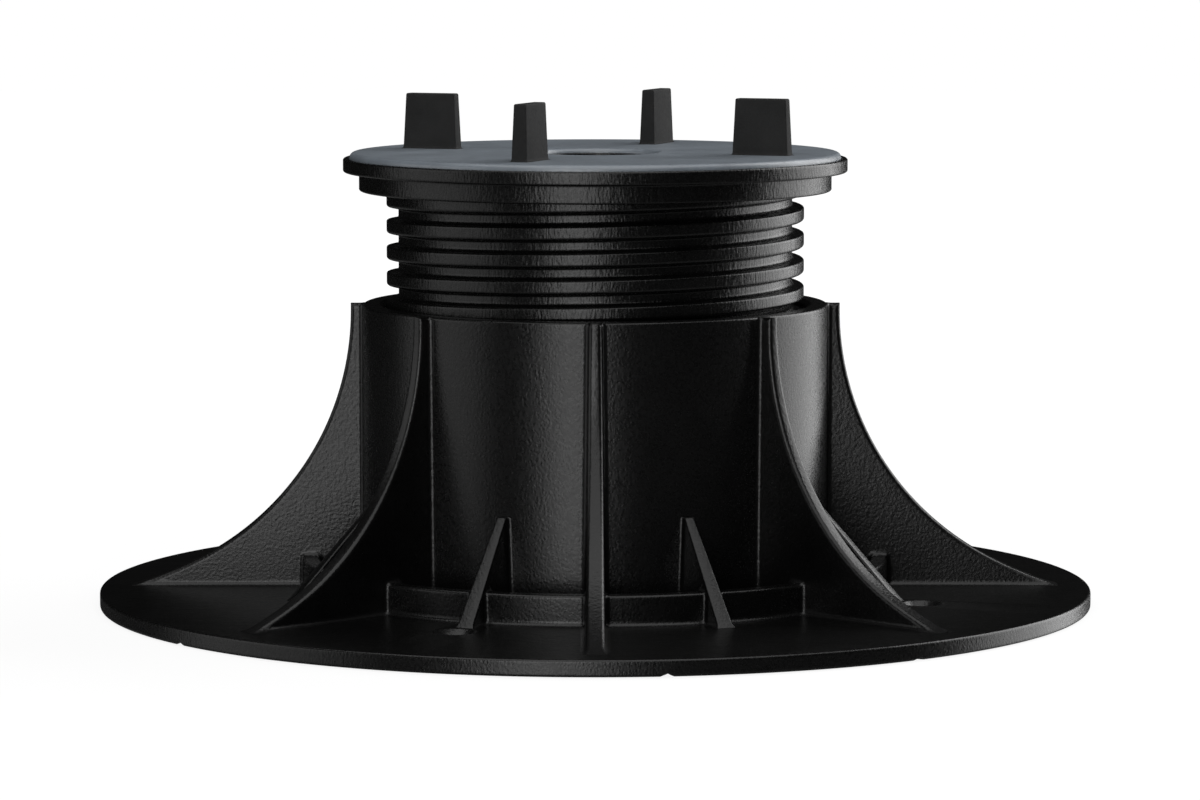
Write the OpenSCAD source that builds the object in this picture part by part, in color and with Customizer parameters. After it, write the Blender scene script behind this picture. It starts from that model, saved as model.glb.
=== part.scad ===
// Height-adjustable decking pedestal: ribbed base with a threaded collar, hollow screw, swivelling tile head, soft pad.
// Millimetres, +Z up. The origin is the centre of the base's underside. One rib points to -Y.

/* [Base plate] */
// Diameter of the base plate
base_d = 200; // [190:1:280]
// Thickness of the base plate
plate_t = 3.25; // [2.5:0.05:5]
// Rounding of the plate's rim
plate_round = 0.5; // [0.2:0.1:1]
// Width of a score line on the underside
score_w = 2.4; // [1:0.1:4]
// Depth of a score line
score_depth = 0.75; // [0.3:0.05:1.2]
// Distance from the collar to each score line
score_margin = 3.2; // [2:0.1:6]

/* [Fixing holes] */
// Diameter of the circle that the fixing holes lie on
fix_pcd = 140; // [136:1:160]
// Diameter of a fixing hole
fix_d = 4.5; // [3:0.1:6]
// Diameter of a hole's countersink
sink_d = 8.5; // [7:0.1:10]
// Number of fixing holes
fix_count = 4; // [2:1:8]

/* [Ring] */
// Outer diameter of the upright ring that ties ribs and gussets together
ring_d = 118; // [112:1:126]
// Height of the ring above the plate
ring_h = 6; // [4:0.1:10]
// Wall of the ring
ring_t = 3.3; // [2:0.1:4.5]
// Fillet where the ring and the collar rise from the plate
foot_fillet = 1; // [0.3:0.1:1.5]
// Rounding of the ring's upper edges
ring_round = 0.6; // [0.2:0.1:0.9]

/* [Collar] */
// Outer diameter of the collar
collar_d = 93.6; // [92:0.1:98]
// Height of the collar's rim above the ground
collar_h = 60.5; // [50:0.5:90]
// Rounding of the collar's outer rim
collar_round = 0.5; // [0.2:0.1:1]
// Chamfer at the mouth of the collar
mouth_chamfer = 0.8; // [0.3:0.1:1.2]

/* [Ribs] */
// Number of tall curved ribs
rib_count = 8; // [4:1:12]
// How far a rib stands out from the collar at its top
rib_stand = 2.5; // [1.5:0.1:5]
// Straight length of a rib's edge below its top
rib_land = 1.2; // [0.5:0.1:5]
// Thickness of a rib at its top
rib_top_t = 2.5; // [1.5:0.1:4]
// Thickness of a rib at its foot
rib_foot_t = 3.7; // [2.5:0.1:5]
// Diameter of the circle that the ribs' toes reach
rib_toe_d = 189; // [160:1:189]
// Height of a rib's toe above the plate
rib_toe_h = 0.45; // [0.2:0.05:2]

/* [Gussets] */
// Height of a short gusset above the plate
gusset_h = 19.2; // [12:0.1:30]
// Flat length at the top of a gusset
gusset_land = 1; // [0.5:0.1:5]
// Diameter of the circle that the gussets' toes reach
gusset_toe_d = 131; // [122:1:131]
// Thickness of a gusset at its top
gusset_top_t = 2; // [1:0.1:3]
// Thickness of a gusset at its foot
gusset_foot_t = 3.3; // [1.5:0.1:4]

/* [Thread] */
// Diameter over the screw's thread
thread_d = 84; // [80:0.1:85]
// Depth of the thread
thread_depth = 2.4; // [1.5:0.1:3]
// Rise of the thread in one turn
pitch = 5.25; // [5:0.05:8]
// Width of the thread at its crest
crest_w = 2.7; // [2:0.05:2.8]
// Width of the thread at its root
root_w = 3.1; // [2.8:0.05:3.2]
// Turns of thread inside the collar
collar_turns = 4; // [2:0.5:7]
// Clearance between the flanks of the two threads
flank_clear = 0.25; // [0.15:0.05:0.4]
// Clearance between crest and root of the two threads
crest_clear = 0.7; // [0.3:0.05:0.8]
// Height of the collar's rim above the end of its thread
mouth_depth = 1.6; // [1:0.1:5]

/* [Screw] */
// Length of the screw
screw_len = 60; // [50:0.5:61]
// Wall of the screw under its thread
screw_wall = 3.2; // [2:0.1:5]
// Inner diameter of the lip at the screw's top
lip_d = 60; // [56:0.5:64]
// Thickness of the lip
lip_t = 3; // [2:0.1:5]
// Angle at which the thread starts
screw_turn = 171; // [0:1:359]
// Height of the head's skirt above the collar's rim
lift = 22.8; // [1:0.1:38]

/* [Head] */
// Diameter of the head
head_d = 101.4; // [99:0.2:120]
// Thickness of the head's plate
head_t = 2.7; // [2:0.1:5]
// Rounding of the head's edges
head_round = 0.4; // [0.2:0.1:0.7]
// Diameter of the skirt under the head
skirt_d = 95; // [94:0.2:97]
// Height of the skirt
skirt_h = 3.8; // [2:0.1:8]
// Wall of the skirt
skirt_wall = 3; // [2:0.1:4]
// Diameter of the hole in the middle of the head
hole_d = 23; // [16:0.5:36]
// Wall of the hub round the hole
hub_wall = 2.2; // [1.5:0.1:4]
// Depth of the hub below the head's plate
hub_h = 6; // [3:0.5:12]
// Wall of the hub's rim, which the pad's hole fits round
hub_rim = 0.85; // [0.6:0.05:2]
// Depth of the hub's rim below the pad's top
hub_drop = 0.9; // [0.2:0.1:1.5]
// Gap between the screw's top and the head
swivel_gap = 0.2; // [0.1:0.05:0.4]

/* [Snap fingers] */
// Number of snap fingers under the head
finger_count = 4; // [3:1:8]
// Angle that a finger spans
finger_span = 34; // [15:1:40]
// Thickness of a finger
finger_t = 2.2; // [1.5:0.1:3]
// Clearance between a finger and the screw's lip
finger_clear = 0.4; // [0.3:0.05:0.8]
// How far a finger's barb reaches under the lip
barb_reach = 1.4; // [1:0.1:2]
// Height of the barb
barb_h = 3; // [2:0.1:5]

/* [Spacer lugs] */
// Number of spacer lugs
lug_count = 4; // [3:1:4]
// Diameter of the circle that the lugs stand on
lug_pcd = 71; // [60:0.5:80]
// Length of a lug at the pad
lug_len = 11.6; // [8:0.1:14]
// Length of a lug at its top
lug_top_len = 10.6; // [7:0.1:13]
// Thickness of a lug at the pad
lug_t = 3.3; // [2.5:0.1:6]
// Thickness of a lug at its top
lug_top_t = 2.6; // [2:0.1:5]
// Height of a lug above the pad
lug_h = 11.2; // [8:0.1:20]
// Rounding of a lug's upper edges
lug_round = 0.4; // [0.1:0.1:0.8]
// How far a lug's foot spreads at the pad
lug_foot = 0.35; // [0.1:0.05:0.8]
// Height of the foot above the pad
lug_foot_h = 0.6; // [0.3:0.1:1.5]
// Angle of the lugs' cross at rest
lug_turn = 21; // [0:1:89]

/* [Pad] */
// Diameter of the pad
pad_d = 98.8; // [90:0.2:99.8]
// Thickness of the pad
pad_t = 1.8; // [1:0.1:4]
// Depth of the pad's seat in the head
pad_seat = 0.6; // [0.3:0.1:1.2]
// Rounding of the pad's upper edges
pad_round = 1.1; // [0.2:0.1:1.2]
// Clearance round the pad and in its slots
pad_clear = 0.15; // [0.1:0.05:0.3]

/* [Hidden] */
$fn = 144;

// Segments in one turn of a thread, and in one rounded corner
thread_segments = 60;
corner_segments = 4;
// Depth by which a thread, rib or lug is rooted in the wall that carries it
root_sink = 1;
// Angle over which a thread fades out at its ends, and the share of its depth by which its end dips into the wall
fade_angle = 36;
fade_sink = 0.15;
// Distance by which a cutter passes through the face it cuts
cut_over = 1;

plastic = "#1c1c1e";
soft_grey = "#6c7780";

base_r = base_d / 2;
ring_r = ring_d / 2;
ring_z = plate_t + ring_h;
collar_r = collar_d / 2;
thread_r = thread_d / 2;
core_r = thread_r - thread_depth;
bore_r = thread_r + crest_clear;
screw_bore_r = core_r - screw_wall;
lip_r = lip_d / 2;

skirt_z = collar_h + lift;
head_z = skirt_z + skirt_h;
head_top = head_z + head_t;
pad_z = head_top - pad_seat;
pad_top = pad_z + pad_t;
hub_top = pad_top - hub_drop;
hub_rim_r = hole_d / 2 + hub_rim;
pad_hole_r = hub_rim_r + pad_clear;
screw_top = head_z - swivel_gap;
screw_z = screw_top - screw_len;
lip_z = screw_top - lip_t;

// Width of the screw's thread at radius r
function thread_w(r) = root_w - (root_w - crest_w) * (r - core_r) / thread_depth;
// Width of the collar's thread at radius r: what the screw's thread and the clearance leave of the pitch
function collar_thread_w(r) = pitch - thread_w(r) - 2 * flank_clear;

// Middle of the screw's thread at its start
thread_z = screw_z + root_w / 2 + flank_clear;
screw_turns = (screw_len - root_w - 2 * flank_clear) / pitch;
// The collar's thread runs half a pitch from the screw's, so its start angle follows from its start height
collar_thread_z = collar_h - mouth_depth - collar_thread_w(bore_r) / 2 - collar_turns * pitch;
collar_thread_turn = screw_turn + 360 * ((collar_thread_z - thread_z) / pitch - 0.5);

// Points of a rounded corner round c, of radius r, from angle a to angle b
function corner(c, r, a, b) = [
    for (i = [0 : corner_segments])
        let (t = a + (b - a) * i / corner_segments)
        c + r * [cos(t), sin(t)]
];

// Helical ridge from radius wall_r to radius crest_r, rooted behind the wall; widths are given at both radii
module ridge(wall_r, crest_r, wall_w, tip_w, z, turn, turns) {
    n = ceil(turns * thread_segments);
    fade = fade_angle / 360 * thread_segments;
    back_r = wall_r + sign(wall_r - crest_r) * root_sink;
    section = function (i)
        let (
            a = turn + 360 * i / thread_segments,
            h = z + pitch * i / thread_segments,
            k = min(1, i / fade - fade_sink, (n - i) / fade - fade_sink),
            r = wall_r + (crest_r - wall_r) * k,
            w = wall_w + (tip_w - wall_w) * k
        )
        [
            [back_r * cos(a), back_r * sin(a), h - wall_w / 2],
            [r * cos(a), r * sin(a), h - w / 2],
            [r * cos(a), r * sin(a), h + w / 2],
            [back_r * cos(a), back_r * sin(a), h + wall_w / 2]
        ];
    points = [for (i = [0 : n]) each section(i)];
    walls = [
        for (i = [0 : n - 1], j = [0 : 3])
            let (a = 4 * i + j, b = 4 * i + (j + 1) % 4)
            each [[a, b, a + 4], [b, b + 4, a + 4]]
    ];
    caps = [[3, 2, 1], [3, 1, 0], [4 * n, 4 * n + 1, 4 * n + 2], [4 * n, 4 * n + 2, 4 * n + 3]];
    outward = crest_r > wall_r;
    faces = [for (f = concat(walls, caps)) outward ? f : [f[2], f[1], f[0]]];
    polyhedron(points, faces);
}

// Wall with a radial outline: thick at z0, thinner at z1, standing on the axis plane
module drafted_wall(outer_r, z0, t0, z1, t1) {
    intersection() {
        rotate([90, 0, 0])
            linear_extrude(height = 2 * t0, center = true)
                children();
        rotate([90, 0, 90])
            linear_extrude(height = outer_r + cut_over)
                polygon([[-t0 / 2, z0], [t0 / 2, z0], [t1 / 2, z1], [-t1 / 2, z1]]);
    }
}

// Outline of a tall rib: a quarter curve that leaves the collar upright and runs out to the toe
module rib_outline() {
    top_r = collar_r + rib_stand;
    run = rib_toe_d / 2 - top_r;
    drop = collar_h - rib_land - plate_t - rib_toe_h;
    curve_r = (run * run + drop * drop) / (2 * run);
    difference() {
        translate([collar_r - root_sink, plate_t - root_sink])
            square([rib_toe_d / 2 - collar_r + root_sink, collar_h - plate_t + root_sink]);
        translate([top_r + curve_r, collar_h - rib_land])
            circle(r = curve_r, $fn = 4 * $fn);
        translate([top_r, collar_h - rib_land])
            square([run + cut_over, rib_land + cut_over]);
    }
}

module rib() {
    drafted_wall(rib_toe_d / 2, plate_t - root_sink, rib_foot_t, collar_h, rib_top_t)
        rib_outline();
}

// Short straight gusset between two ribs
module gusset() {
    top_z = plate_t + gusset_h;
    land_r = collar_r + gusset_land;
    toe_r = gusset_toe_d / 2 + root_sink * (gusset_toe_d / 2 - land_r) / gusset_h;
    drafted_wall(toe_r, plate_t - root_sink, gusset_foot_t, top_z, gusset_top_t)
        polygon([
            [collar_r - root_sink, plate_t - root_sink],
            [toe_r, plate_t - root_sink],
            [land_r, top_z],
            [collar_r - root_sink, top_z]
        ]);
}

// Plate, upright ring and collar in one revolved section; the trough between ring and collar is open at the top
module base_body() {
    trough_r = ring_r - ring_t;
    rotate_extrude()
        polygon(concat(
            [[bore_r, 0]],
            corner([base_r - plate_round, plate_round], plate_round, -90, 0),
            corner([base_r - plate_round, plate_t - plate_round], plate_round, 0, 90),
            corner([ring_r + foot_fillet, plate_t + foot_fillet], foot_fillet, 270, 180),
            corner([ring_r - ring_round, ring_z - ring_round], ring_round, 0, 90),
            corner([trough_r + ring_round, ring_z - ring_round], ring_round, 90, 180),
            corner([trough_r - foot_fillet, plate_t + foot_fillet], foot_fillet, 360, 270),
            corner([collar_r + foot_fillet, plate_t + foot_fillet], foot_fillet, 270, 180),
            corner([collar_r - collar_round, collar_h - collar_round], collar_round, 0, 90),
            [
                [bore_r + mouth_chamfer, collar_h],
                [bore_r, collar_h - mouth_chamfer]
            ]
        ));
}

// Countersunk hole through the plate
module fixing_hole() {
    sink_depth = (sink_d - fix_d) / 2;
    translate([0, 0, -cut_over])
        cylinder(d = fix_d, h = plate_t + 2 * cut_over);
    translate([0, 0, plate_t - sink_depth])
        cylinder(d1 = fix_d, d2 = sink_d + 2 * cut_over, h = sink_depth + cut_over);
}

// Score line across the underside, for cutting the plate flush along a wall
module score_line() {
    translate([collar_r + score_margin, 0, 0])
        rotate([90, 0, 0])
            linear_extrude(height = base_d + 2 * cut_over, center = true)
                polygon([[-score_w / 2, 0], [-score_w / 2, -cut_over], [score_w / 2, -cut_over], [score_w / 2, 0],
                    [0, score_depth]]);
}

// Holes and score lines share the directions between the ribs, so each segment that is cut off has a hole
module base() {
    color(plastic) {
        between = 180 / rib_count - 90;
        difference() {
            base_body();
            for (i = [0 : fix_count - 1])
                rotate(between + 360 * i / fix_count - 2 * 180 / rib_count) {
                    translate([fix_pcd / 2, 0, 0])
                        fixing_hole();
                    score_line();
                }
        }
        for (i = [0 : rib_count - 1]) {
            rotate(360 * i / rib_count - 90)
                rib();
            rotate(360 * i / rib_count + between)
                gusset();
        }
        ridge(bore_r, core_r + crest_clear, collar_thread_w(bore_r), collar_thread_w(core_r + crest_clear),
            collar_thread_z, collar_thread_turn, collar_turns);
    }
}

// Hollow screw: a tube with an inward lip that the head snaps into
module screw() {
    color(plastic) {
        rotate_extrude()
            polygon([
                [screw_bore_r, screw_z],
                [core_r, screw_z],
                [core_r, screw_top],
                [lip_r, screw_top],
                [lip_r, lip_z],
                [screw_bore_r, lip_z]
            ]);
        ridge(core_r, thread_r, root_w, crest_w, thread_z, screw_turn, screw_turns);
    }
}

// Section of a snap finger: a strip that passes the lip, with a barb that catches below it
module finger_section() {
    outer_r = lip_r - finger_clear;
    catch_z = lip_z - swivel_gap;
    polygon([
        [outer_r - finger_t, head_z + root_sink],
        [outer_r - finger_t, catch_z - barb_h],
        [outer_r, catch_z - barb_h],
        [outer_r + barb_reach, catch_z - barb_reach],
        [outer_r + barb_reach, catch_z],
        [outer_r, catch_z],
        [outer_r, head_z + root_sink]
    ]);
}

// Outline of a lug, w wide at the pad and top_w wide at its top, with a spread foot and rounded upper corners
module lug_outline(w, top_w) {
    foot_z = pad_z - root_sink;
    foot_w = w / 2 + lug_foot;
    neck_w = (w + (top_w - w) * lug_foot_h / lug_h) / 2;
    round_z = pad_top + lug_h - lug_round;
    round_w = top_w / 2 - lug_round;
    polygon(concat(
        [
            [-neck_w, pad_top + lug_foot_h],
            [-foot_w, pad_top],
            [-foot_w, foot_z],
            [foot_w, foot_z],
            [foot_w, pad_top],
            [neck_w, pad_top + lug_foot_h]
        ],
        corner([round_w, round_z], lug_round, 0, 90),
        corner([-round_w, round_z], lug_round, 90, 180)
    ));
}

// Upright lug, tapered on all four sides, standing on the head and passing through the pad
module lug() {
    intersection() {
        rotate([90, 0, 0])
            linear_extrude(height = lug_t + 4 * lug_foot, center = true)
                lug_outline(lug_len, lug_top_len);
        rotate([90, 0, 90])
            linear_extrude(height = lug_len + 4 * lug_foot, center = true)
                lug_outline(lug_t, lug_top_t);
    }
}

// Places its children once for each lug
module at_lugs() {
    for (i = [0 : lug_count - 1])
        rotate(360 * i / lug_count - lug_turn)
            translate([0, -lug_pcd / 2, 0])
                rotate(90)
                    children();
}

// Round plate with a skirt below it
module head_plate() {
    head_r = head_d / 2;
    inner_r = hole_d / 2 + hub_rim / 2;
    rotate_extrude()
        polygon(concat(
            [
                [inner_r, head_top],
                [inner_r, head_z],
                [skirt_d / 2 - skirt_wall, head_z],
                [skirt_d / 2 - skirt_wall, skirt_z]
            ],
            corner([skirt_d / 2 - head_round, skirt_z + head_round], head_round, -90, 0),
            [[skirt_d / 2, head_z]],
            corner([head_r - head_round, head_z + head_round], head_round, -90, 0),
            corner([head_r - head_round, head_top - head_round], head_round, 0, 90)
        ));
}

// Tube round the centre hole, from below the plate up into the pad
module hub() {
    hub_r = hole_d / 2 + hub_wall;
    step = (head_z + pad_z) / 2;
    rotate_extrude()
        polygon([
            [hole_d / 2, head_z - hub_h],
            [hub_r, head_z - hub_h],
            [hub_r, step],
            [hub_rim_r, step],
            [hub_rim_r, hub_top],
            [hole_d / 2, hub_top]
        ]);
}

module head() {
    color(plastic) {
        difference() {
            head_plate();
            translate([0, 0, pad_z])
                cylinder(r = pad_d / 2 + pad_clear, h = pad_seat + cut_over);
        }
        hub();
        for (i = [0 : finger_count - 1])
            rotate(360 * i / finger_count - finger_span / 2 - lug_turn)
                rotate_extrude(angle = finger_span)
                    finger_section();
        at_lugs()
            lug();
    }
}

// Soft disc in the head's seat, slotted for the lugs
module pad() {
    slot_room = 2 * (lug_foot + pad_clear);
    color(soft_grey)
        difference() {
            rotate_extrude()
                polygon(concat(
                    [
                        [pad_hole_r, pad_z],
                        [pad_d / 2, pad_z]
                    ],
                    corner([pad_d / 2 - pad_round, pad_top - pad_round], pad_round, 0, 90),
                    corner([pad_hole_r + pad_round, pad_top - pad_round], pad_round, 90, 180)
                ));
            at_lugs()
                translate([0, 0, pad_z + pad_t / 2])
                    cube([lug_len + slot_room, lug_t + slot_room, pad_t + 2 * cut_over], center = true);
        }
}

base();
screw();
head();
pad();
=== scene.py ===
"""Decking pedestal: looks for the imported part. The frame is in metres; the sizes below are in millimetres."""

import math

import bmesh
import bpy
from mathutils import Matrix, Vector


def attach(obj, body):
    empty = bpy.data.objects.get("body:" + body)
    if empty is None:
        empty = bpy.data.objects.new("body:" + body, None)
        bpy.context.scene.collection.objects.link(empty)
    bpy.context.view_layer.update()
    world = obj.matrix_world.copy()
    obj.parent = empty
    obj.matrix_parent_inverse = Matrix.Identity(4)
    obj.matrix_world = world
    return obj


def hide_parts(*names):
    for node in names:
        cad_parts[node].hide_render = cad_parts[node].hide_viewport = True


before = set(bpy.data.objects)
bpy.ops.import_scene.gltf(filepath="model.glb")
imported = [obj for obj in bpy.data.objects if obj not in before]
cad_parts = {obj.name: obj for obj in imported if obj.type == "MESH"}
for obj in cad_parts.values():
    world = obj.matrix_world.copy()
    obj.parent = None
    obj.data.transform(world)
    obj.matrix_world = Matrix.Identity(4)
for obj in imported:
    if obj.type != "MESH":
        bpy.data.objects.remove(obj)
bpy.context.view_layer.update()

MM = 0.001

# Base: plate, upright ring and collar
BASE_R, PLATE_T, PLATE_ROUND = 100.0, 3.25, 0.5
RING_R, RING_IN_R, RING_Z, RING_ROUND, FOOT_FILLET = 59.0, 55.7, 9.25, 0.6, 1.0
COLLAR_R, COLLAR_H, COLLAR_ROUND, BORE_R, MOUTH = 46.8, 60.5, 0.5, 42.7, 0.8

# Base: ribs and gussets
WEB_COUNT = 8
RIB_TOP_R, RIB_LAND, RIB_TOP_T, RIB_FOOT_T, RIB_EDGE = 49.3, 1.2, 2.5, 3.7, 0.85
RIB_TOE_R, RIB_TOE_H, RIB_BEND_R, RIB_END_R = 94.5, 0.45, 80.0, 93.6
GUSSET_Z, GUSSET_TOP_R, GUSSET_TOE_R, GUSSET_TOP_T, GUSSET_FOOT_T = 22.45, 47.8, 65.5, 2.0, 3.3
GUSSET_FILLET, GUSSET_EDGE, GUSSET_NOSE = 0.7, 0.4, 0.4

# Base: fixing holes and score lines, whose cutters stand out of the plate
HOLE_COUNT, FIX_TURN, FIX_R, FIX_D, SINK_D, SINK_LIP = 4, -112.5, 70.0, 4.5, 8.5, 0.35
SCORE_OFFSET, SCORE_W, SCORE_DEPTH = 50.0, 2.4, 0.75
CUT_OVER = 1.0

# Thread, on the screw and in the collar
PITCH, THREAD_R, CORE_R, CREST_W, ROOT_W = 5.25, 42.0, 39.6, 2.7, 3.1
FLANK_CLEAR, THREAD_RUN_IN, THREAD_FADE = 0.25, 0.25, 0.1
LOWER_FLANK, UPPER_FLANK = (0.4, 0.6), (0.7, 0.38)
NUT_TURNS, NUT_TIP_R, NUT_TOP_GAP, NUT_SINK, NUT_ROUND = 4, CORE_R + 0.7, 1.6, 0.8, 0.3

# Screw
SCREW_Z, SCREW_TOP, SCREW_BORE_R, SCREW_CHAMFER, SCREW_TURN = 26.9, 86.9, 36.4, 0.6, 171.0
LIP_R, LIP_T, LIP_ROUND, LIP_FILLET = 30.0, 3.0, 0.4, 1.2

# Head
SKIRT_Z, SKIRT_R, SKIRT_IN_R, SKIRT_CHAMFER, SKIRT_FILLET, SKIRT_IN_FILLET = 83.3, 47.5, 44.5, 0.3, 0.4, 0.5
HEAD_Z, HEAD_TOP, HEAD_R, HEAD_ROUND, SEAT_CHAMFER = 87.1, 89.8, 50.7, 0.4, 0.1
HOLE_R, HUB_WALL, HUB_H, HUB_RIM_R, HUB_TOP = 11.5, 2.2, 6.0, 12.35, 90.1
HUB_RIM_ROUND, HUB_ROUND, HUB_FILLET = 0.25, 0.3, 0.6
FINGER_T, FINGER_H, FINGER_SPAN, FINGER_ROOT, FINGER_CHAMFER = 2.2, 3.0, 34.0, 0.5, 0.3
HOOK, HOOK_T, HOOK_ROUND, FINGER_CLEAR, CATCH_CLEAR = 1.4, 1.5, 0.15, 0.4, 0.2

# Pad and lugs
PAD_Z, PAD_TOP, PAD_R, PAD_ROUND, PAD_HOLE_R, PAD_CLEAR = 89.2, 91.0, 49.4, 1.1, 12.5, 0.15
SEAT_R = PAD_R + PAD_CLEAR
SLOT_ROUND, SLOT_OVER = 0.5, 2.0
LUG_COUNT, LUG_R, LUG_LEN, LUG_TOP_LEN, LUG_T, LUG_TOP_T = 4, 35.5, 11.6, 10.6, 3.3, 2.6
LUG_TOP, LUG_TURN, LUG_SINK, LUG_FOOT, LUG_FOOT_H, LUG_ROUND = 102.2, 21.0, 0.8, 0.35, 0.6, 0.34

# Places of the points across a web: shares of its fillet, of a dense stretch, of the rest and of its edge
FILLET_STEPS = (0, 0.05, 0.15, 0.3, 0.5, 0.75, 1)
DENSE_STEPS = (0.06, 0.15, 0.26, 0.38, 0.52, 0.67, 0.83, 1)
OPEN_STEPS = (0.45, 0.96)
EDGE_STEPS = (1, 0.7, 0.45, 0.25, 0.1, 0.03, 0)
DENSE_REACH, DENSE_SHARE = 4.8, 0.4
# Distances between a web's rows, and of its first rows from its top
CROSSING_STEP, RIB_STEP, GUSSET_STEP = 0.4, 1.8, 1.2
RIB_TOP_ROWS = (0, 0.02, 0.06, 0.14, 0.26, 0.4, 0.6, 0.9)
GUSSET_TOP_ROWS = (0.02, 0.06, 0.11, 0.17, 0.25, 0.35, 0.5, 0.7)
# How deep a web and its outer line are sunk in the wall, and its least half thickness
WEB_SINK, OUTER_SINK, WEB_THIN = 0.8, 1.0, 0.05
# How far the wall's line runs past a rib, and where a gusset's rows fan out to, from its middle
RUN_PAST, GUSSET_FAN = 4.0, (23.1, 19.1)
# The most that a fillet or an edge takes of a short row
SHORT_SHARE = 0.45
# Distance below which two places count as the same
SLACK = 0.01

# Steps round the axis
BODY_STEPS, HOLE_STEPS, NUT_STEPS, SCREW_STEPS, FINGER_STEPS, FLOOR_STEPS = 192, 40, 96, 168, 16, 96

# Stage and camera; the focal length is in pixels of a picture as wide as the photograph
FLOOR_R, FLOOR_T, FLOOR_DROP, FLOOR_GREY = 2500.0, 5.0, 0.2, 0.15
FLOOR_GLOSSY, FLOOR_POLISH, WORLD_GLOSSY, WORLD_FILL = 0.12, 1.45, 0.004, 0.002
PHOTO_WIDTH_PX, FOCAL_PX, SENSOR = 1200, 5011.3, 36.0
CAMERA_PLACE, CAMERA_DOWN, CAMERA_AIM = (0, -1.0073, 0.1451), 5.913, -0.054


# Meshes
def weld(bm):
    """Joins points that coincide, drops faces without area and turns the normals outward."""
    bmesh.ops.remove_doubles(bm, verts=bm.verts, dist=2e-7)
    bmesh.ops.dissolve_degenerate(bm, dist=1e-7, edges=bm.edges)
    bmesh.ops.recalc_face_normals(bm, faces=bm.faces)


def make(name, verts, faces):
    """New mesh object from points in millimetres."""
    mesh = bpy.data.meshes.new(name)
    mesh.from_pydata([(x * MM, y * MM, z * MM) for x, y, z in verts], [], faces)
    bm = bmesh.new()
    bm.from_mesh(mesh)
    weld(bm)
    bm.to_mesh(mesh)
    bm.free()
    obj = bpy.data.objects.new(name, mesh)
    bpy.context.scene.collection.objects.link(obj)
    return obj


def soften(obj, angle=32):
    """Smooth shading, with sharp edges where faces meet at more than the angle."""
    mesh = obj.data
    bm = bmesh.new()
    bm.from_mesh(mesh)
    limit = math.radians(angle)
    for face in bm.faces:
        face.smooth = True
    for edge in bm.edges:
        edge.smooth = len(edge.link_faces) == 2 and edge.calc_face_angle(0) < limit
    bm.to_mesh(mesh)
    bm.free()
    return obj


def join(name, pieces, welded=False):
    """One object made of several, given with their materials; welded where they share an edge."""
    bm = bmesh.new()
    mesh = bpy.data.meshes.new(name)
    slots = []
    for obj, mat in pieces:
        if mat not in slots:
            slots.append(mat)
            mesh.materials.append(mat)
        for face in obj.data.polygons:
            face.material_index = slots.index(mat)
        bm.from_mesh(obj.data)
        bpy.data.objects.remove(obj)
    if welded:
        weld(bm)
    bm.to_mesh(mesh)
    bm.free()
    joined = bpy.data.objects.new(name, mesh)
    bpy.context.scene.collection.objects.link(joined)
    return joined


def cut(obj, cutters):
    """Takes the cutters, which may cross each other, out of the object."""
    tool = join("tool", [(cutter, None) for cutter in cutters])
    mod = obj.modifiers.new("cut", "BOOLEAN")
    mod.operation, mod.solver, mod.object, mod.use_self = "DIFFERENCE", "EXACT", tool, True
    bpy.context.view_layer.update()
    done = bpy.data.meshes.new_from_object(obj.evaluated_get(bpy.context.evaluated_depsgraph_get()))
    bm = bmesh.new()
    bm.from_mesh(done)
    weld(bm)
    bmesh.ops.triangulate(bm, faces=[face for face in bm.faces if len(face.verts) > 4])
    weld(bm)
    bm.to_mesh(done)
    bm.free()
    obj.modifiers.clear()
    obj.data = done
    bpy.data.objects.remove(tool)
    return obj


def turned_by(degrees):
    """Turn about the part's axis."""
    return Matrix.Rotation(math.radians(degrees), 4, "Z")


def arc(centre, radius, start, end, n=6):
    """Points along an arc, from one angle to another in degrees."""
    angles = [math.radians(start + (end - start) * i / n) for i in range(n + 1)]
    return [(centre[0] + radius * math.cos(a), centre[1] + radius * math.sin(a)) for a in angles]


def between(p, q, t):
    """Point at a share of the way from p to q."""
    return (p[0] + (q[0] - p[0]) * t, p[1] + (q[1] - p[1]) * t)


def with_support(profile, gap=0.22):
    """Closed outline with extra points near both ends of each long straight, to keep its shading flat."""
    out = []
    for i, p in enumerate(profile):
        q = profile[(i + 1) % len(profile)]
        length = math.dist(p, q)
        out.append(p)
        if length > 4 * gap:
            out += [between(p, q, gap / length), between(p, q, 1 - gap / length)]
    return out


def spread(line, step):
    """Points along a polyline, no further apart than the step, its corners kept."""
    out = [line[0]]
    for p, q in zip(line, line[1:]):
        n = max(1, math.ceil(math.dist(p, q) / step))
        out += [between(p, q, i / n) for i in range(1, n + 1)]
    return out


def revolve(name, profile, steps=BODY_STEPS, start=0.0, span=360.0, closed=True):
    """Outline of (radius, height) points, turned about the axis."""
    whole = span >= 360.0
    columns = steps if whole else steps + 1
    verts, faces, n = [], [], len(profile)
    for i in range(columns):
        a = math.radians(start + span * i / steps)
        verts += [(r * math.cos(a), r * math.sin(a), z) for r, z in profile]
    for i in range(steps):
        j = (i + 1) % columns
        for k in range(n if closed else n - 1):
            m = (k + 1) % n
            faces.append((i * n + k, j * n + k, j * n + m, i * n + m))
    if not whole:
        faces += [tuple(range(n)), tuple(range((columns - 1) * n, columns * n))]
    return make(name, verts, faces)


# Materials
BLACK, LUG_BLACK = (0.0015, 0.003), (0.019, 0.025)
PAD_DARK, PAD_LIGHT = (0.155, 0.177, 0.202), (0.204, 0.233, 0.265)


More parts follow.
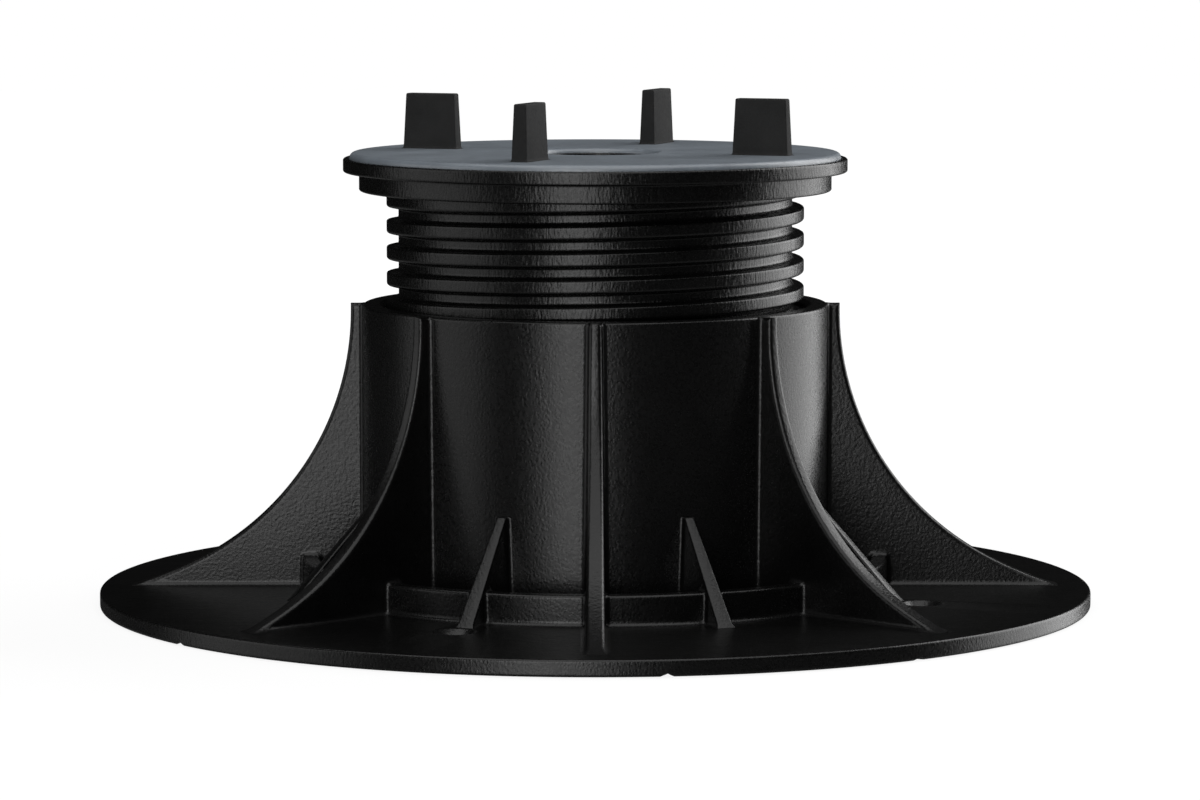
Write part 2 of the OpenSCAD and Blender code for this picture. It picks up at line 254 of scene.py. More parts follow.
def material(name):
    """New material, with its nodes, its shader and the coordinates on the object."""
    mat = bpy.data.materials.new(name)
    mat.use_nodes = True
    tree = mat.node_tree
    tree.nodes.clear()
    out = tree.nodes.new("ShaderNodeOutputMaterial")
    shader = tree.nodes.new("ShaderNodeBsdfPrincipled")
    tree.links.new(shader.outputs[0], out.inputs[0])
    place = tree.nodes.new("ShaderNodeTexCoord")
    return mat, tree, shader, place.outputs["Object"]


def noise(tree, vector, size, detail=2.0, stretch=(1, 1, 1)):
    """Noise whose grain is about the given size in millimetres."""
    mapping = tree.nodes.new("ShaderNodeMapping")
    mapping.inputs["Scale"].default_value = stretch
    tree.links.new(vector, mapping.inputs["Vector"])
    node = tree.nodes.new("ShaderNodeTexNoise")
    node.inputs["Scale"].default_value = 1 / (size * MM)
    node.inputs["Detail"].default_value = detail
    node.inputs["Roughness"].default_value = 0.5
    tree.links.new(mapping.outputs[0], node.inputs["Vector"])
    return node.outputs["Fac"]


def remap(tree, value, low, high, to_low, to_high):
    """Value moved from one range to another."""
    node = tree.nodes.new("ShaderNodeMapRange")
    node.inputs["From Min"].default_value, node.inputs["From Max"].default_value = low, high
    node.inputs["To Min"].default_value, node.inputs["To Max"].default_value = to_low, to_high
    tree.links.new(value, node.inputs["Value"])
    return node.outputs[0]


def uneven(tree, value, to_low, to_high):
    """Noise moved to a range, its rare extremes clipped."""
    return remap(tree, value, 0.3, 0.7, to_low, to_high)


def blend(tree, factor, a, b):
    """Mix of two colours."""
    node = tree.nodes.new("ShaderNodeMix")
    node.data_type = "RGBA"
    node.inputs[6].default_value, node.inputs[7].default_value = (*a, 1), (*b, 1)
    tree.links.new(factor, node.inputs[0])
    return node.outputs[2]


def bump(tree, height, depth, normal=None):
    """Bump whose height runs over the given depth in millimetres."""
    node = tree.nodes.new("ShaderNodeBump")
    node.inputs["Strength"].default_value = 1.0
    node.inputs["Distance"].default_value = depth * MM
    tree.links.new(height, node.inputs["Height"])
    if normal:
        tree.links.new(normal, node.inputs["Normal"])
    return node.outputs[0]


def black_plastic(name, shine, grain, stretch=(1, 1, 1), shade=BLACK, gloss=0.4, ripple=(7.0, 0.01)):
    """Moulded black plastic: shade and shine are the ranges of colour and roughness; grain and ripple are
    sizes and depths in millimetres."""
    mat, tree, shader, place = material(name)
    tint = uneven(tree, noise(tree, place, 6.0, 3), 0, 1)
    tree.links.new(blend(tree, tint, (shade[0],) * 3, (shade[1],) * 3), shader.inputs["Base Color"])
    tree.links.new(uneven(tree, noise(tree, place, 0.7, 3), *shine), shader.inputs["Roughness"])
    wave = bump(tree, noise(tree, place, ripple[0]), ripple[1])
    pebble = bump(tree, noise(tree, place, grain[0], stretch=stretch), grain[1], wave)
    tree.links.new(pebble, shader.inputs["Normal"])
    shader.inputs["Specular IOR Level"].default_value = gloss
    return mat


def soft_pad(name):
    """Grey-blue soft plastic with a satin skin."""
    mat, tree, shader, place = material(name)
    tint = uneven(tree, noise(tree, place, 9.0, 4), 0, 1)
    tree.links.new(blend(tree, tint, PAD_DARK, PAD_LIGHT), shader.inputs["Base Color"])
    tree.links.new(uneven(tree, noise(tree, place, 1.5, 3), 0.32, 0.44), shader.inputs["Roughness"])
    tree.links.new(bump(tree, noise(tree, place, 0.5, 3), 0.03), shader.inputs["Normal"])
    shader.inputs["Specular IOR Level"].default_value = 1.0
    return mat


walls = black_plastic("black_walls", (0.25, 0.31), (0.45, 0.055), (1, 1, 0.7))
plates = black_plastic("black_plate", (0.28, 0.34), (0.5, 0.09), gloss=0.2, ripple=(2.4, 0.12))
webs = black_plastic("black_webs", (0.27, 0.33), (0.62, 0.07))
turned = black_plastic("black_thread", (0.24, 0.3), (0.45, 0.08), (1, 1, 0.3))
matt = black_plastic("black_lugs", (0.7, 0.8), (0.5, 0.03), shade=LUG_BLACK, gloss=0.15)
soft = soft_pad("pad_grey")


# Base: revolved plate, upright ring and collar, with an open trough between ring and collar
TROUGH_WALL = (
    arc((COLLAR_R + FOOT_FILLET, PLATE_T + FOOT_FILLET), FOOT_FILLET, 180, 270)
    + arc((RING_IN_R - FOOT_FILLET, PLATE_T + FOOT_FILLET), FOOT_FILLET, 270, 360)
    + arc((RING_IN_R + RING_ROUND, RING_Z - RING_ROUND), RING_ROUND, 180, 90)
)
OUTER_WALL = (
    arc((RING_R - RING_ROUND, RING_Z - RING_ROUND), RING_ROUND, 90, 0)
    + arc((RING_R + FOOT_FILLET, PLATE_T + FOOT_FILLET), FOOT_FILLET, 180, 270)
)
RING_MIDDLE = ((RING_IN_R + RING_R) / 2, RING_Z)
# Where a web leaves the collar's foot to cross the trough, and the height of its sunk side there
CROSSING = (COLLAR_R, PLATE_T + FOOT_FILLET)
SUNK_Z = PLATE_T - 0.3


def fixing_hole():
    """Cutter for a countersunk hole on the axis, with a broken edge."""
    sink_z = PLATE_T - (SINK_D - FIX_D) / 2
    mouth_r = (SINK_D + SINK_LIP) / 2
    profile = [(0, -CUT_OVER), (FIX_D / 2, -CUT_OVER), (FIX_D / 2, sink_z),
               ((SINK_D - SINK_LIP) / 2, PLATE_T - SINK_LIP / 2), (mouth_r, PLATE_T),
               (mouth_r, PLATE_T + CUT_OVER), (0, PLATE_T + CUT_OVER)]
    return revolve("hole", profile, HOLE_STEPS, closed=False)


def score_line():
    """Cutter for a straight groove across the underside."""
    reach = BASE_R + 2 * CUT_OVER
    wide = SCORE_W / 2 * (SCORE_DEPTH + CUT_OVER) / SCORE_DEPTH
    groove = ((SCORE_OFFSET - wide, -CUT_OVER), (SCORE_OFFSET + wide, -CUT_OVER), (SCORE_OFFSET, SCORE_DEPTH))
    verts = [(x, y, z) for y in (-reach, reach) for x, z in groove]
    return make("score", verts, [(0, 1, 2), (5, 4, 3), (0, 1, 4, 3), (1, 2, 5, 4), (2, 0, 3, 5)])


def base_body():
    """Plate, ring and collar as one revolved body, with the holes and score lines cut out."""
    outline = (
        [(BORE_R, 0)]
        + arc((BASE_R - PLATE_ROUND, PLATE_ROUND), PLATE_ROUND, -90, 0)
        + arc((BASE_R - PLATE_ROUND, PLATE_T - PLATE_ROUND), PLATE_ROUND, 0, 90)
        + (TROUGH_WALL + OUTER_WALL)[::-1]
        + arc((COLLAR_R - COLLAR_ROUND, COLLAR_H - COLLAR_ROUND), COLLAR_ROUND, 0, 90)
        + [(BORE_R + MOUTH, COLLAR_H), (BORE_R, COLLAR_H - MOUTH)]
    )
    body = revolve("base_body", with_support(outline))
    cutters = []
    for k in range(HOLE_COUNT):
        turn = turned_by(FIX_TURN + 360 / HOLE_COUNT * k)
        hole, score = fixing_hole(), score_line()
        hole.data.transform(turn @ Matrix.Translation((FIX_R * MM, 0, 0)))
        score.data.transform(turn)
        cutters += [hole, score]
    return soften(cut(body, cutters))


def distance(p, line):
    """Distance from a point to a polyline."""
    best = math.inf
    for (ax, ay), (bx, by) in zip(line, line[1:]):
        dx, dy = bx - ax, by - ay
        square = dx * dx + dy * dy
        t = 0 if square < 1e-12 else max(0, min(1, ((p[0] - ax) * dx + (p[1] - ay) * dy) / square))
        best = min(best, math.hypot(p[0] - ax - t * dx, p[1] - ay - t * dy))
    return best


def meet(p, q, line):
    """Where the ray from p towards q last meets a polyline, or None."""
    hit, slack = None, 1e-6
    dx, dy = q[0] - p[0], q[1] - p[1]
    for (ax, ay), (bx, by) in zip(line, line[1:]):
        ex, ey = bx - ax, by - ay
        den = dx * ey - dy * ex
        if abs(den) < 1e-9:
            continue
        t = ((ax - p[0]) * ey - (ay - p[1]) * ex) / den
        u = ((ax - p[0]) * dy - (ay - p[1]) * dx) / den
        if t >= -slack and -slack <= u <= 1 + slack:
            hit = (p[0] + dx * t, p[1] + dy * t)
    return hit


def crosses(p):
    """Whether a point lies on the line by which a web crosses the trough."""
    return CROSSING[0] + SLACK < p[0] < RING_MIDDLE[0] - SLACK


def quarter_round(radius, away):
    """How far a quarter round stands off its wall, at a distance from where it starts."""
    return radius - math.sqrt(radius ** 2 - (radius - away) ** 2) if away < radius else 0


def taper(foot_t, top_t, top_z):
    """Half the thickness of a web, as a function of height."""
    return lambda z: 0.5 * (foot_t + (top_t - foot_t) * (z - PLATE_T) / (top_z - PLATE_T))


def web_row(a, b, inner, outer, half, fillet, edge):
    """Points (radius, height, half thickness) across a web, from a on its inner to b on its outer line."""
    length = math.dist(a, b)
    near, far = min(fillet, SHORT_SHARE * length), min(edge, SHORT_SHARE * length)
    gap = length - near - far
    dense = min(DENSE_REACH, DENSE_SHARE * gap)
    steps = [-WEB_SINK] + [near * t for t in FILLET_STEPS]
    steps += [near + dense * t for t in DENSE_STEPS]
    steps += [near + dense + (gap - dense) * t for t in OPEN_STEPS]
    steps += [length - far * t for t in EDGE_STEPS]
    row = []
    for s in steps:
        if s < 0 and crosses(a):
            row.append((a[0], SUNK_Z, half(SUNK_Z)))
            continue
        p = between(a, b, s / length)
        from_wall = distance(p, inner) if s > 0 or crosses(a) else 0
        y = half(p[1]) + quarter_round(fillet, from_wall) - quarter_round(edge, distance(p, outer))
        row.append((*p, max(y, WEB_THIN)))
    return row


def web(name, inner, outer, pairs, half, fillet, edge, azimuths):
    """Upright webs that flare into the wall along the inner line and are rounded along the outer line.
    pairs are matching points on both lines; half gives half the thickness at a height."""
    rows = [web_row(a, b, inner, outer, half, fillet, edge) for a, b in pairs]
    n, last = len(rows[0]), len(rows[0]) * (len(rows) - 1)
    verts, faces = [], []
    for azimuth in azimuths:
        left = len(verts)
        right = left + last + n
        spin = math.radians(azimuth - 90)
        c, s = math.cos(spin), math.sin(spin)
        for side in (1, -1):
            for r, z, y in (point for row in rows for point in row):
                x = math.sqrt(max(r * r - y * y, 0))
                verts.append((x * c - side * y * s, x * s + side * y * c, z))
        for i in range(0, last, n):
            j, e = i + n, n - 1
            for k in range(n - 1):
                faces.append((left + i + k, left + i + k + 1, left + j + k + 1, left + j + k))
                faces.append((right + i + k, right + j + k, right + j + k + 1, right + i + k + 1))
            faces.append((left + i + e, right + i + e, right + j + e, left + j + e))
            faces.append((left + i, left + j, right + j, right + i))
        for i in (0, last):
            for k in range(n - 1):
                faces.append((left + i + k, right + i + k, right + i + k + 1, left + i + k + 1))
    return soften(make(name, verts, faces), 40)


def foot_line(top, end, step):
    """Points where a web's rows start: down the collar, over the trough to the ring and along the plate."""
    return (spread([top, CROSSING], step) + spread([CROSSING, RING_MIDDLE], CROSSING_STEP)[1:]
            + spread([RING_MIDDLE] + OUTER_WALL + [end], step)[1:])


def ribs():
    """Tall ribs with a hollow curve, whose toes run out on the plate."""
    run = RIB_TOE_R - RIB_TOP_R
    knee = COLLAR_H - RIB_LAND
    drop = knee - PLATE_T - RIB_TOE_H
    radius = (run * run + drop * drop) / (2 * run)
    centre = (RIB_TOP_R + radius, knee)
    end_h = knee - math.sqrt(radius ** 2 - (centre[0] - RIB_END_R) ** 2) - PLATE_T
    pairs = [((COLLAR_R, COLLAR_H - d), (RIB_TOP_R, COLLAR_H - d)) for d in RIB_TOP_ROWS]
    for p in foot_line((COLLAR_R, knee), (RIB_END_R, PLATE_T), RIB_STEP):
        r, z = between(centre, p, radius / math.dist(p, centre))
        bend = max(0, min(1, (r - RIB_BEND_R) / (RIB_END_R - RIB_BEND_R)))
        pairs.append((p, (r, max(z - end_h * bend ** 2, PLATE_T + SLACK))))
    outer = [(COLLAR_R - OUTER_SINK, COLLAR_H)] + [b for a, b in pairs]
    inner = [(COLLAR_R, COLLAR_H + RUN_PAST)] + TROUGH_WALL + OUTER_WALL + [(RIB_TOE_R + RUN_PAST, PLATE_T)]
    azimuths = [360 / WEB_COUNT * k for k in range(WEB_COUNT)]
    half = taper(RIB_FOOT_T, RIB_TOP_T, COLLAR_H)
    return web("ribs", inner, outer, pairs, half, FOOT_FILLET, RIB_EDGE, azimuths)


def gussets():
    """Short straight gussets between the ribs; their rows fan out towards a point in front of the slope."""
    slope = (GUSSET_TOE_R - GUSSET_TOP_R) / (GUSSET_Z - PLATE_T)
    inner = [(COLLAR_R, GUSSET_Z)] + TROUGH_WALL + OUTER_WALL + [(GUSSET_TOE_R, PLATE_T)]
    outer = [(COLLAR_R - OUTER_SINK, GUSSET_Z), (GUSSET_TOP_R - GUSSET_NOSE, GUSSET_Z),
             (GUSSET_TOP_R - GUSSET_NOSE / 4, GUSSET_Z - GUSSET_NOSE / 4),
             (GUSSET_TOP_R + 0.375 * GUSSET_NOSE * slope, GUSSET_Z - 0.875 * GUSSET_NOSE),
             (GUSSET_TOE_R, PLATE_T)]
    fan = ((GUSSET_TOP_R + GUSSET_TOE_R) / 2 + GUSSET_FAN[0], (GUSSET_Z + PLATE_T) / 2 + GUSSET_FAN[1])
    starts = [(COLLAR_R, GUSSET_Z - d) for d in GUSSET_TOP_ROWS]
    starts += foot_line((COLLAR_R, GUSSET_Z - 1), (GUSSET_TOE_R - 0.05, PLATE_T), GUSSET_STEP)
    pairs = []
    for p in starts:
        hit = meet(p, fan, outer)
        if hit and math.dist(p, hit) > 2 * SLACK:
            pairs.append((p, hit))
    half = taper(GUSSET_FOOT_T, GUSSET_TOP_T, GUSSET_Z)
    azimuths = [360 / WEB_COUNT * (k + 0.5) for k in range(WEB_COUNT)]
    return web("gussets", inner, outer, pairs, half, GUSSET_FILLET, GUSSET_EDGE, azimuths)


# How far the middle of a rounding lies from its corner's sides, as a share of its radius
ARC_MIDDLE = 0.3
# Height of the middle of the screw's thread where it starts
THREAD_Z = SCREW_Z + ROOT_W / 2 + THREAD_RUN_IN


def nut_width(r):
    """Width of the collar's ridge at a radius: what the screw's ridge leaves free, less the clearance."""
    return PITCH - (ROOT_W - (ROOT_W - CREST_W) * (r - CORE_R) / (THREAD_R - CORE_R)) - 2 * FLANK_CLEAR


def collar_thread():
    """Square ridge inside the collar, half a pitch from the screw's, with faded ends."""
    start_z = COLLAR_H - NUT_TOP_GAP - nut_width(BORE_R) / 2 - NUT_TURNS * PITCH
    start = SCREW_TURN + 360 * ((start_z - THREAD_Z) / PITCH - 0.5)
    steps, fade = NUT_STEPS * NUT_TURNS, NUT_STEPS * THREAD_FADE
    verts, faces = [], []
    for i in range(steps + 1):
        a = math.radians(start + 360 * NUT_TURNS * i / steps)
        z = start_z + PITCH * NUT_TURNS * i / steps
        k = min(1, i / fade - 0.1, (steps - i) / fade - 0.1)
        r = BORE_R + (NUT_TIP_R - BORE_R) * k
        w, b = nut_width(r) / 2, NUT_ROUND * max(k, 0.1)
        lower = [(BORE_R + NUT_SINK, -nut_width(BORE_R) / 2), (r + b, -w),
                 (r + ARC_MIDDLE * b, ARC_MIDDLE * b - w), (r, b - w)]
        section = lower + [(q, -h) for q, h in lower[::-1]]
        verts += [(q * math.cos(a), q * math.sin(a), z + h) for q, h in section]
    n = len(section)
    for i in range(0, steps * n, n):
        faces += [(i + k, i + n + k, i + n + (k + 1) % n, i + (k + 1) % n) for k in range(n)]
    faces += [tuple(range(n)), tuple(range(steps * n, steps * n + n))]
    return soften(make("collar_thread", verts, faces), 50)


def base_piece():
    """The whole base, with the plate's open top in its own finish."""
    parts = [(base_body(), walls), (ribs(), webs), (gussets(), webs), (collar_thread(), turned)]
    piece = join("base_shell", parts)
    piece.data.materials.append(plates)
    for face in piece.data.polygons:
        if face.normal.z > 0.99 and abs(face.center.z - PLATE_T * MM) < SLACK * MM:
            face.material_index = len(piece.data.materials) - 1
    return piece


# Screw: one helical strip a pitch wide, its ends faded into the core, welded to the bore
def flank(fillet, edge):
    """Half the thread's section, from mid root to mid crest, with a root fillet and a rounded crest."""
    crest, root = CREST_W / 2, ROOT_W / 2
    half = [(-PITCH / 2, CORE_R), (-root - fillet - 0.1, CORE_R)]
    for a in map(math.radians, (0, 22, 45, 67, 86)):
        half.append((-root - fillet + fillet * math.sin(a), CORE_R + fillet - fillet * math.cos(a)))
    half.append(between((-root, CORE_R), (-crest, THREAD_R), 0.6))
    for a in map(math.radians, (5, 25, 45, 67, 90)):
        half.append((-crest + edge - edge * math.cos(a), THREAD_R - edge + edge * math.sin(a)))
    return half + [(-crest + edge + 0.15, THREAD_R)]


def screw_thread():
    """Outside of the screw, from its lower end to its top."""
    section = flank(*LOWER_FLANK) + [(-u, r) for u, r in flank(*UPPER_FLANK)[:0:-1]]
    turns = (SCREW_TOP - SCREW_Z - ROOT_W - 2 * THREAD_RUN_IN) / PITCH
    low, high = -2, math.ceil(turns) + 2
    verts, faces = [], []
    for i in range(SCREW_STEPS + 1):
        a = math.radians(SCREW_TURN + 360 * i / SCREW_STEPS)
        for j in range(low, high):
            along = j + i / SCREW_STEPS
            k = max(0, min(1, along / THREAD_FADE, (turns - along) / THREAD_FADE))
            for u, r in section:
                z = max(SCREW_Z, min(SCREW_TOP, THREAD_Z + PITCH * along + u))
                q = CORE_R + (r - CORE_R) * k
                verts.append((q * math.cos(a), q * math.sin(a), z))
    n = (high - low) * len(section)
    for i in range(0, SCREW_STEPS * n, n):
        faces += [(i + k, i + n + k, i + n + k + 1, i + k + 1) for k in range(n - 1)]
    return make("screw_thread", verts, faces)


def screw_piece():
    """Threaded outside and plain bore, with an inward lip at the top."""
    lip_z = SCREW_TOP - LIP_T
    outline = (
        [(CORE_R, SCREW_TOP)]
        + arc((LIP_R + LIP_ROUND, SCREW_TOP - LIP_ROUND), LIP_ROUND, 90, 180, 4)
        + arc((LIP_R + LIP_ROUND, lip_z + LIP_ROUND), LIP_ROUND, 180, 270, 4)
        + arc((SCREW_BORE_R - LIP_FILLET, lip_z - LIP_FILLET), LIP_FILLET, 90, 0, 5)
        + [(SCREW_BORE_R, SCREW_Z + SCREW_CHAMFER), (SCREW_BORE_R + SCREW_CHAMFER, SCREW_Z)]
        + [(CORE_R, SCREW_Z)]
    )
    # The last two points of support lie on the side that the thread closes
    bore = revolve("screw_bore", with_support(outline)[:-2], SCREW_STEPS, SCREW_TURN, closed=False)
    return soften(join("screw_shell", [(screw_thread(), turned), (bore, walls)], welded=True), 40)


# Head: revolved plate, skirt and hub, with snap fingers and lugs
def at_lug(k):
    """Place of a lug on the head."""
    return turned_by(360 / LUG_COUNT * k - LUG_TURN) @ Matrix.Translation((0, -LUG_R * MM, 0)) @ turned_by(90)


def lug_block():
    """Lug with rounded edges, tapered upwards, that spreads into a filleted foot at the pad."""
    foot_top, round_z = PAD_TOP + LUG_FOOT_H, LUG_TOP - LUG_ROUND
    rows = [(PAD_Z - LUG_SINK, LUG_FOOT), (PAD_TOP - 0.1, LUG_FOOT)]
    for t in (0, 0.1, 0.25, 0.45, 0.7, 1):
        rows.append((PAD_TOP + LUG_FOOT_H * t, LUG_FOOT * (1 - math.sqrt(1 - (1 - t) ** 2))))
    rows += [(foot_top + (round_z - foot_top) * t, 0) for t in (0.05, 0.5, 0.95, 1)]
    for a in map(math.radians, (18, 36, 54, 72, 90)):
        rows.append((round_z + LUG_ROUND * math.sin(a), LUG_ROUND * (math.cos(a) - 1)))
    verts = []
    for z, out in rows:
        t = max(0, (z - PAD_TOP) / (LUG_TOP - PAD_TOP))
        half_l = (LUG_LEN + (LUG_TOP_LEN - LUG_LEN) * t) / 2 + out
        half_w = (LUG_T + (LUG_TOP_T - LUG_T) * t) / 2 + out
        radius = max(LUG_ROUND + out, 0.02)
        for cx, cy, start in ((1, 1, 0), (-1, 1, 90), (-1, -1, 180), (1, -1, 270)):
            corner = (cx * (half_l - radius), cy * (half_w - radius))
            verts += [(x, y, z) for x, y in arc(corner, radius, start, start + 90, 5)]
    n = len(verts) // len(rows)
    last = len(verts) - n
    faces = [tuple(range(n))[::-1], tuple(range(last, last + n))]
    for i in range(0, last, n):
        faces += [(i + k, i + (k + 1) % n, i + n + (k + 1) % n, i + n + k) for k in range(n)]
    return make("lug", verts, faces)


def head_disc():
    """Revolved plate with its skirt and hub."""
    r, hub_z = HEAD_ROUND, HEAD_Z - HUB_H
    hub_r = HOLE_R + HUB_WALL
    outline = (
        [(HUB_RIM_R, PAD_Z)]
        + arc((HUB_RIM_R - HUB_RIM_ROUND, HUB_TOP - HUB_RIM_ROUND), HUB_RIM_ROUND, 0, 90, 4)
        + arc((HOLE_R + HUB_RIM_ROUND, HUB_TOP - HUB_RIM_ROUND), HUB_RIM_ROUND, 90, 180, 4)
        + arc((HOLE_R + HUB_ROUND, hub_z + HUB_ROUND), HUB_ROUND, 180, 270, 3)
        + arc((hub_r - HUB_ROUND, hub_z + HUB_ROUND), HUB_ROUND, -90, 0, 3)
        + arc((hub_r + HUB_FILLET, HEAD_Z - HUB_FILLET), HUB_FILLET, 180, 90, 4)
        + arc((SKIRT_IN_R - SKIRT_IN_FILLET, HEAD_Z - SKIRT_IN_FILLET), SKIRT_IN_FILLET, 90, 0, 4)
        + [(SKIRT_IN_R, SKIRT_Z + SKIRT_CHAMFER), (SKIRT_IN_R + SKIRT_CHAMFER, SKIRT_Z)]
        + arc((SKIRT_R - r, SKIRT_Z + r), r, -90, 0)
        + arc((SKIRT_R + SKIRT_FILLET, HEAD_Z - SKIRT_FILLET), SKIRT_FILLET, 180, 90, 4)
        + arc((HEAD_R - r, HEAD_Z + r), r, -90, 0)
        + arc((HEAD_R - r, HEAD_TOP - r), r, 0, 90)
        + [(SEAT_R + SEAT_CHAMFER, HEAD_TOP), (SEAT_R, HEAD_TOP - SEAT_CHAMFER), (SEAT_R, PAD_Z)]
    )
    return soften(revolve("head_disc", with_support(outline)))


def snap_finger(k):
    """Finger that hooks under the screw's lip."""
    outer, catch = LIP_R - FINGER_CLEAR, SCREW_TOP - LIP_T - CATCH_CLEAR
    inner, low, tip, root = outer - FINGER_T, catch - FINGER_H, outer + HOOK, HEAD_Z + FINGER_ROOT
    profile = [(inner, root), (inner, low + FINGER_CHAMFER), (inner + FINGER_CHAMFER, low),
               (outer - 0.2, low), (tip - 0.1, catch - HOOK_T), (tip, catch - HOOK_T + 0.2),
               (tip, catch - HOOK_ROUND), (tip - HOOK_ROUND, catch), (outer, catch), (outer, root)]
    start = 360 / LUG_COUNT * k - FINGER_SPAN / 2 - LUG_TURN
    return soften(revolve("finger", profile, FINGER_STEPS, start, FINGER_SPAN))


def head_piece():
    """The whole head."""
    pieces = [(head_disc(), turned)] + [(snap_finger(k), walls) for k in range(LUG_COUNT)]
    for k in range(LUG_COUNT):
        lug = lug_block()
        lug.data.transform(at_lug(k))
        pieces.append((soften(lug, 40), matt))
    return join("head_shell", pieces)


# Pad: soft disc with a rounded rim, slotted for the lugs
def pad_slot(k):
    """Cutter for a lug's slot, with rounded edges."""
    room = 2 * (LUG_FOOT + PAD_CLEAR)
    x, y = (LUG_LEN + room) / 2, (LUG_T + room) / 2
    corners = ((-x, -y), (x, -y), (x, y), (-x, y))
    verts = [(*corner, z) for z in (PAD_Z - SLOT_OVER, PAD_TOP + SLOT_OVER) for corner in corners]
    faces = [(3, 2, 1, 0), (4, 5, 6, 7)] + [(i, (i + 1) % 4, 4 + (i + 1) % 4, 4 + i) for i in range(4)]
    slot = make("slot", verts, faces)
    bm = bmesh.new()
    bm.from_mesh(slot.data)
    bmesh.ops.bevel(bm, geom=bm.edges[:], offset=SLOT_ROUND * MM, segments=3, profile=0.5, affect="EDGES",
                    clamp_overlap=True)
    bm.to_mesh(slot.data)
    bm.free()
    slot.data.transform(at_lug(k))
    return slot


def pad_piece():
    """The whole pad."""
    outline = (
        [(PAD_HOLE_R, PAD_Z), (PAD_R, PAD_Z)]
        + arc((PAD_R - PAD_ROUND, PAD_TOP - PAD_ROUND), PAD_ROUND, 0, 90, 8)
        + arc((PAD_HOLE_R + PAD_ROUND, PAD_TOP - PAD_ROUND), PAD_ROUND, 90, 180, 8)
    )
    piece = cut(revolve("pad_disc", with_support(outline)), [pad_slot(k) for k in range(LUG_COUNT)])
    piece.name = "pad_soft"
    piece.data.materials.clear()
    piece.data.materials.append(soft)
    return soften(piece)


base, screw, head, pad = base_piece(), screw_piece(), head_piece(), pad_piece()
for piece, node, body, slot in (
    (base, "base", "foot", "black_plastic"),
    (screw, "screw", "jack", "black_plastic"),
    (head, "head", "carrier", "black_plastic"),
    (pad, "pad", "carrier", "soft_pad"),
):
    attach(piece, body)
    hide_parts(node)


# Floor, world, light and camera
def combine(tree, operation, first, second, clamp=False):
    """Sum, product or power of two values, each a socket or a number."""
    node = tree.nodes.new("ShaderNodeMath")
    node.operation, node.use_clamp = operation, clamp
    for socket, value in zip(node.inputs, (first, second)):
        if isinstance(value, float):
            socket.default_value = value
        else:
            tree.links.new(value, socket)
    return node.outputs[0]


def seen_by(tree, camera, glossy, through):
    """Strength by the kind of ray: what the camera, glossy rays and transmission rays see."""
    path = tree.nodes.new("ShaderNodeLightPath")
    total = combine(tree, "MULTIPLY", path.outputs["Is Camera Ray"], camera)
    for name, weight in (("Is Glossy Ray", glossy), ("Is Transmission Ray", through)):
        total = combine(tree, "ADD", total, combine(tree, "MULTIPLY", path.outputs[name], weight))
    return total


def stage_material():
    """Pale floor: white to the camera with the part's shadow on it, dimmer in what the plastic mirrors."""
    mat = bpy.data.materials.new("pale_floor")
    mat.use_nodes = True
    tree = mat.node_tree
    tree.nodes.clear()
    out = tree.nodes.new("ShaderNodeOutputMaterial")
    matt_floor = tree.nodes.new("ShaderNodeBsdfDiffuse")
    matt_floor.inputs["Color"].default_value = (FLOOR_GREY, FLOOR_GREY, FLOOR_GREY, 1)
    place = tree.nodes.new("ShaderNodeTexCoord")
    reach = tree.nodes.new("ShaderNodeVectorMath")
    reach.operation = "LENGTH"
    tree.links.new(place.outputs["Object"], reach.inputs[0])
    shade = remap(tree, reach.outputs["Value"], 0.12, 0.8, 0.88, 1.0)
    glow = tree.nodes.new("ShaderNodeEmission")
    strength = combine(tree, "MULTIPLY", shade, seen_by(tree, 1.0, FLOOR_GLOSSY, 1.0))
    tree.links.new(strength, glow.inputs["Strength"])
    add = tree.nodes.new("ShaderNodeAddShader")
    tree.links.new(matt_floor.outputs[0], add.inputs[0])
    tree.links.new(glow.outputs[0], add.inputs[1])
    # Polish that only glossy rays see, at grazing angles
    polish = tree.nodes.new("ShaderNodeBsdfGlossy")
    polish.inputs["Roughness"].default_value = 0.1
    grazing = tree.nodes.new("ShaderNodeLayerWeight")
    steep = combine(tree, "POWER", grazing.outputs["Facing"], 3.0)
    mix = tree.nodes.new("ShaderNodeMixShader")
    share = combine(tree, "MULTIPLY", steep, seen_by(tree, 0.0, FLOOR_POLISH, 0.0), clamp=True)
    tree.links.new(share, mix.inputs[0])
    tree.links.new(add.outputs[0], mix.inputs[1])
    tree.links.new(polish.outputs[0], mix.inputs[2])
    tree.links.new(mix.outputs[0], out.inputs[0])
    return mat


def studio_world():
    """White to the camera, nearly black in what the plastic mirrors, with a trace of fill."""
    world = bpy.data.worlds.new("studio")
    bpy.context.scene.world = world
    world.use_nodes = True
    tree = world.node_tree
    tree.nodes.clear()
    out = tree.nodes.new("ShaderNodeOutputWorld")
    white = tree.nodes.new("ShaderNodeBackground")
    white.inputs["Color"].default_value = (1, 1, 1, 1)
    tree.links.new(seen_by(tree, 1.0, WORLD_GLOSSY, 1.0), white.inputs["Strength"])
    fill = tree.nodes.new("ShaderNodeBackground")
    fill.inputs["Color"].default_value = (1, 1, 1, 1)
    fill.inputs["Strength"].default_value = WORLD_FILL
    add = tree.nodes.new("ShaderNodeAddShader")
    tree.links.new(white.outputs[0], add.inputs[0])
    tree.links.new(fill.outputs[0], add.inputs[1])
    tree.links.new(add.outputs[0], out.inputs["Surface"])


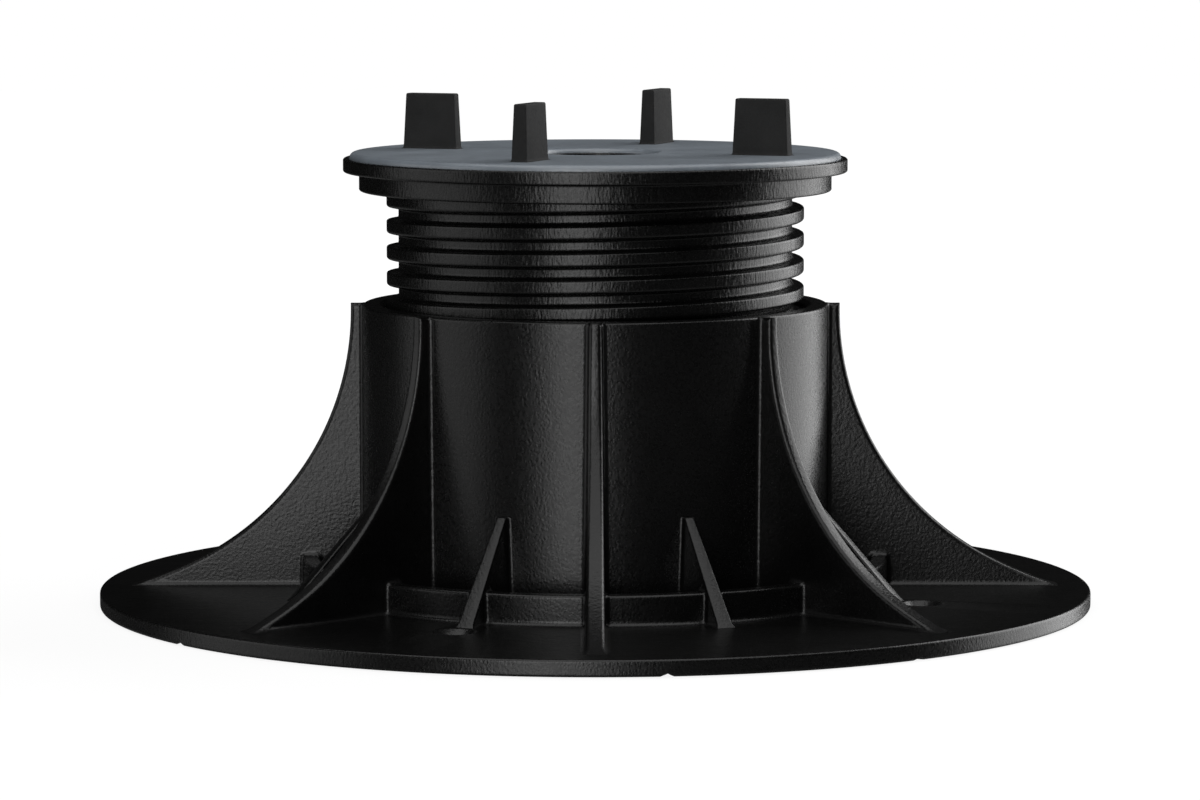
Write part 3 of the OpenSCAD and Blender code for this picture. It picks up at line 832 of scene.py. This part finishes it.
def lamp(name, place, towards, width, height, radiance):
    """Soft box at a place, facing another, of even brightness and unseen by the camera; lengths in metres."""
    light = bpy.data.lights.new(name, "AREA")
    light.shape, light.size, light.size_y = "RECTANGLE", width, height
    light.energy = radiance * math.pi * width * height
    obj = bpy.data.objects.new(name, light)
    obj.location = place
    obj.rotation_euler = (Vector(towards) - Vector(place)).to_track_quat("-Z", "Y").to_euler()
    obj.visible_camera = False
    bpy.context.scene.collection.objects.link(obj)


def soft_box(name, azimuth, away, half_angle, height, radiance):
    """Tall box that stands on the floor at an azimuth, from the camera's side towards +X."""
    a = math.radians(azimuth)
    side = Vector((math.sin(a), -math.cos(a), 0))
    middle = Vector((0, 0, height / 2 + 0.01))
    width = 2 * away * math.tan(math.radians(half_angle))
    lamp(name, side * away + middle, middle, width, height, radiance)


def photo_camera():
    """Camera fitted to the photograph."""
    camera = bpy.data.cameras.new("camera")
    camera.sensor_width = SENSOR
    camera.lens = FOCAL_PX * SENSOR / PHOTO_WIDTH_PX
    eye = bpy.data.objects.new("camera", camera)
    eye.location = CAMERA_PLACE
    eye.rotation_euler = (math.radians(90 - CAMERA_DOWN), 0, math.radians(CAMERA_AIM))
    bpy.context.scene.collection.objects.link(eye)
    bpy.context.scene.camera = eye


floor_side = [(0, 0), (FLOOR_R, 0), (FLOOR_R, -FLOOR_T), (0, -FLOOR_T)]
floor = revolve("floor", floor_side, FLOOR_STEPS, closed=False)
floor.data.transform(Matrix.Translation((0, 0, -FLOOR_DROP * MM)))
floor.data.materials.append(stage_material())
studio_world()
soft_box("front", azimuth=-11, away=1.4, half_angle=12.5, height=0.75, radiance=3.6)
soft_box("left", azimuth=-80, away=1.2, half_angle=24, height=0.8, radiance=0.92)
soft_box("right", azimuth=118, away=1.2, half_angle=25, height=1.5, radiance=3.4)
lamp("top", (0, -0.775, 1.3), (0, -0.775, 0), width=1.6, height=2.45, radiance=1.4)
lamp("back", (0, 1.2, 1.3), (0, 0, 0), width=2.2, height=0.9, radiance=0.05)
photo_camera()
bpy.context.scene.view_settings.view_transform = "Standard"
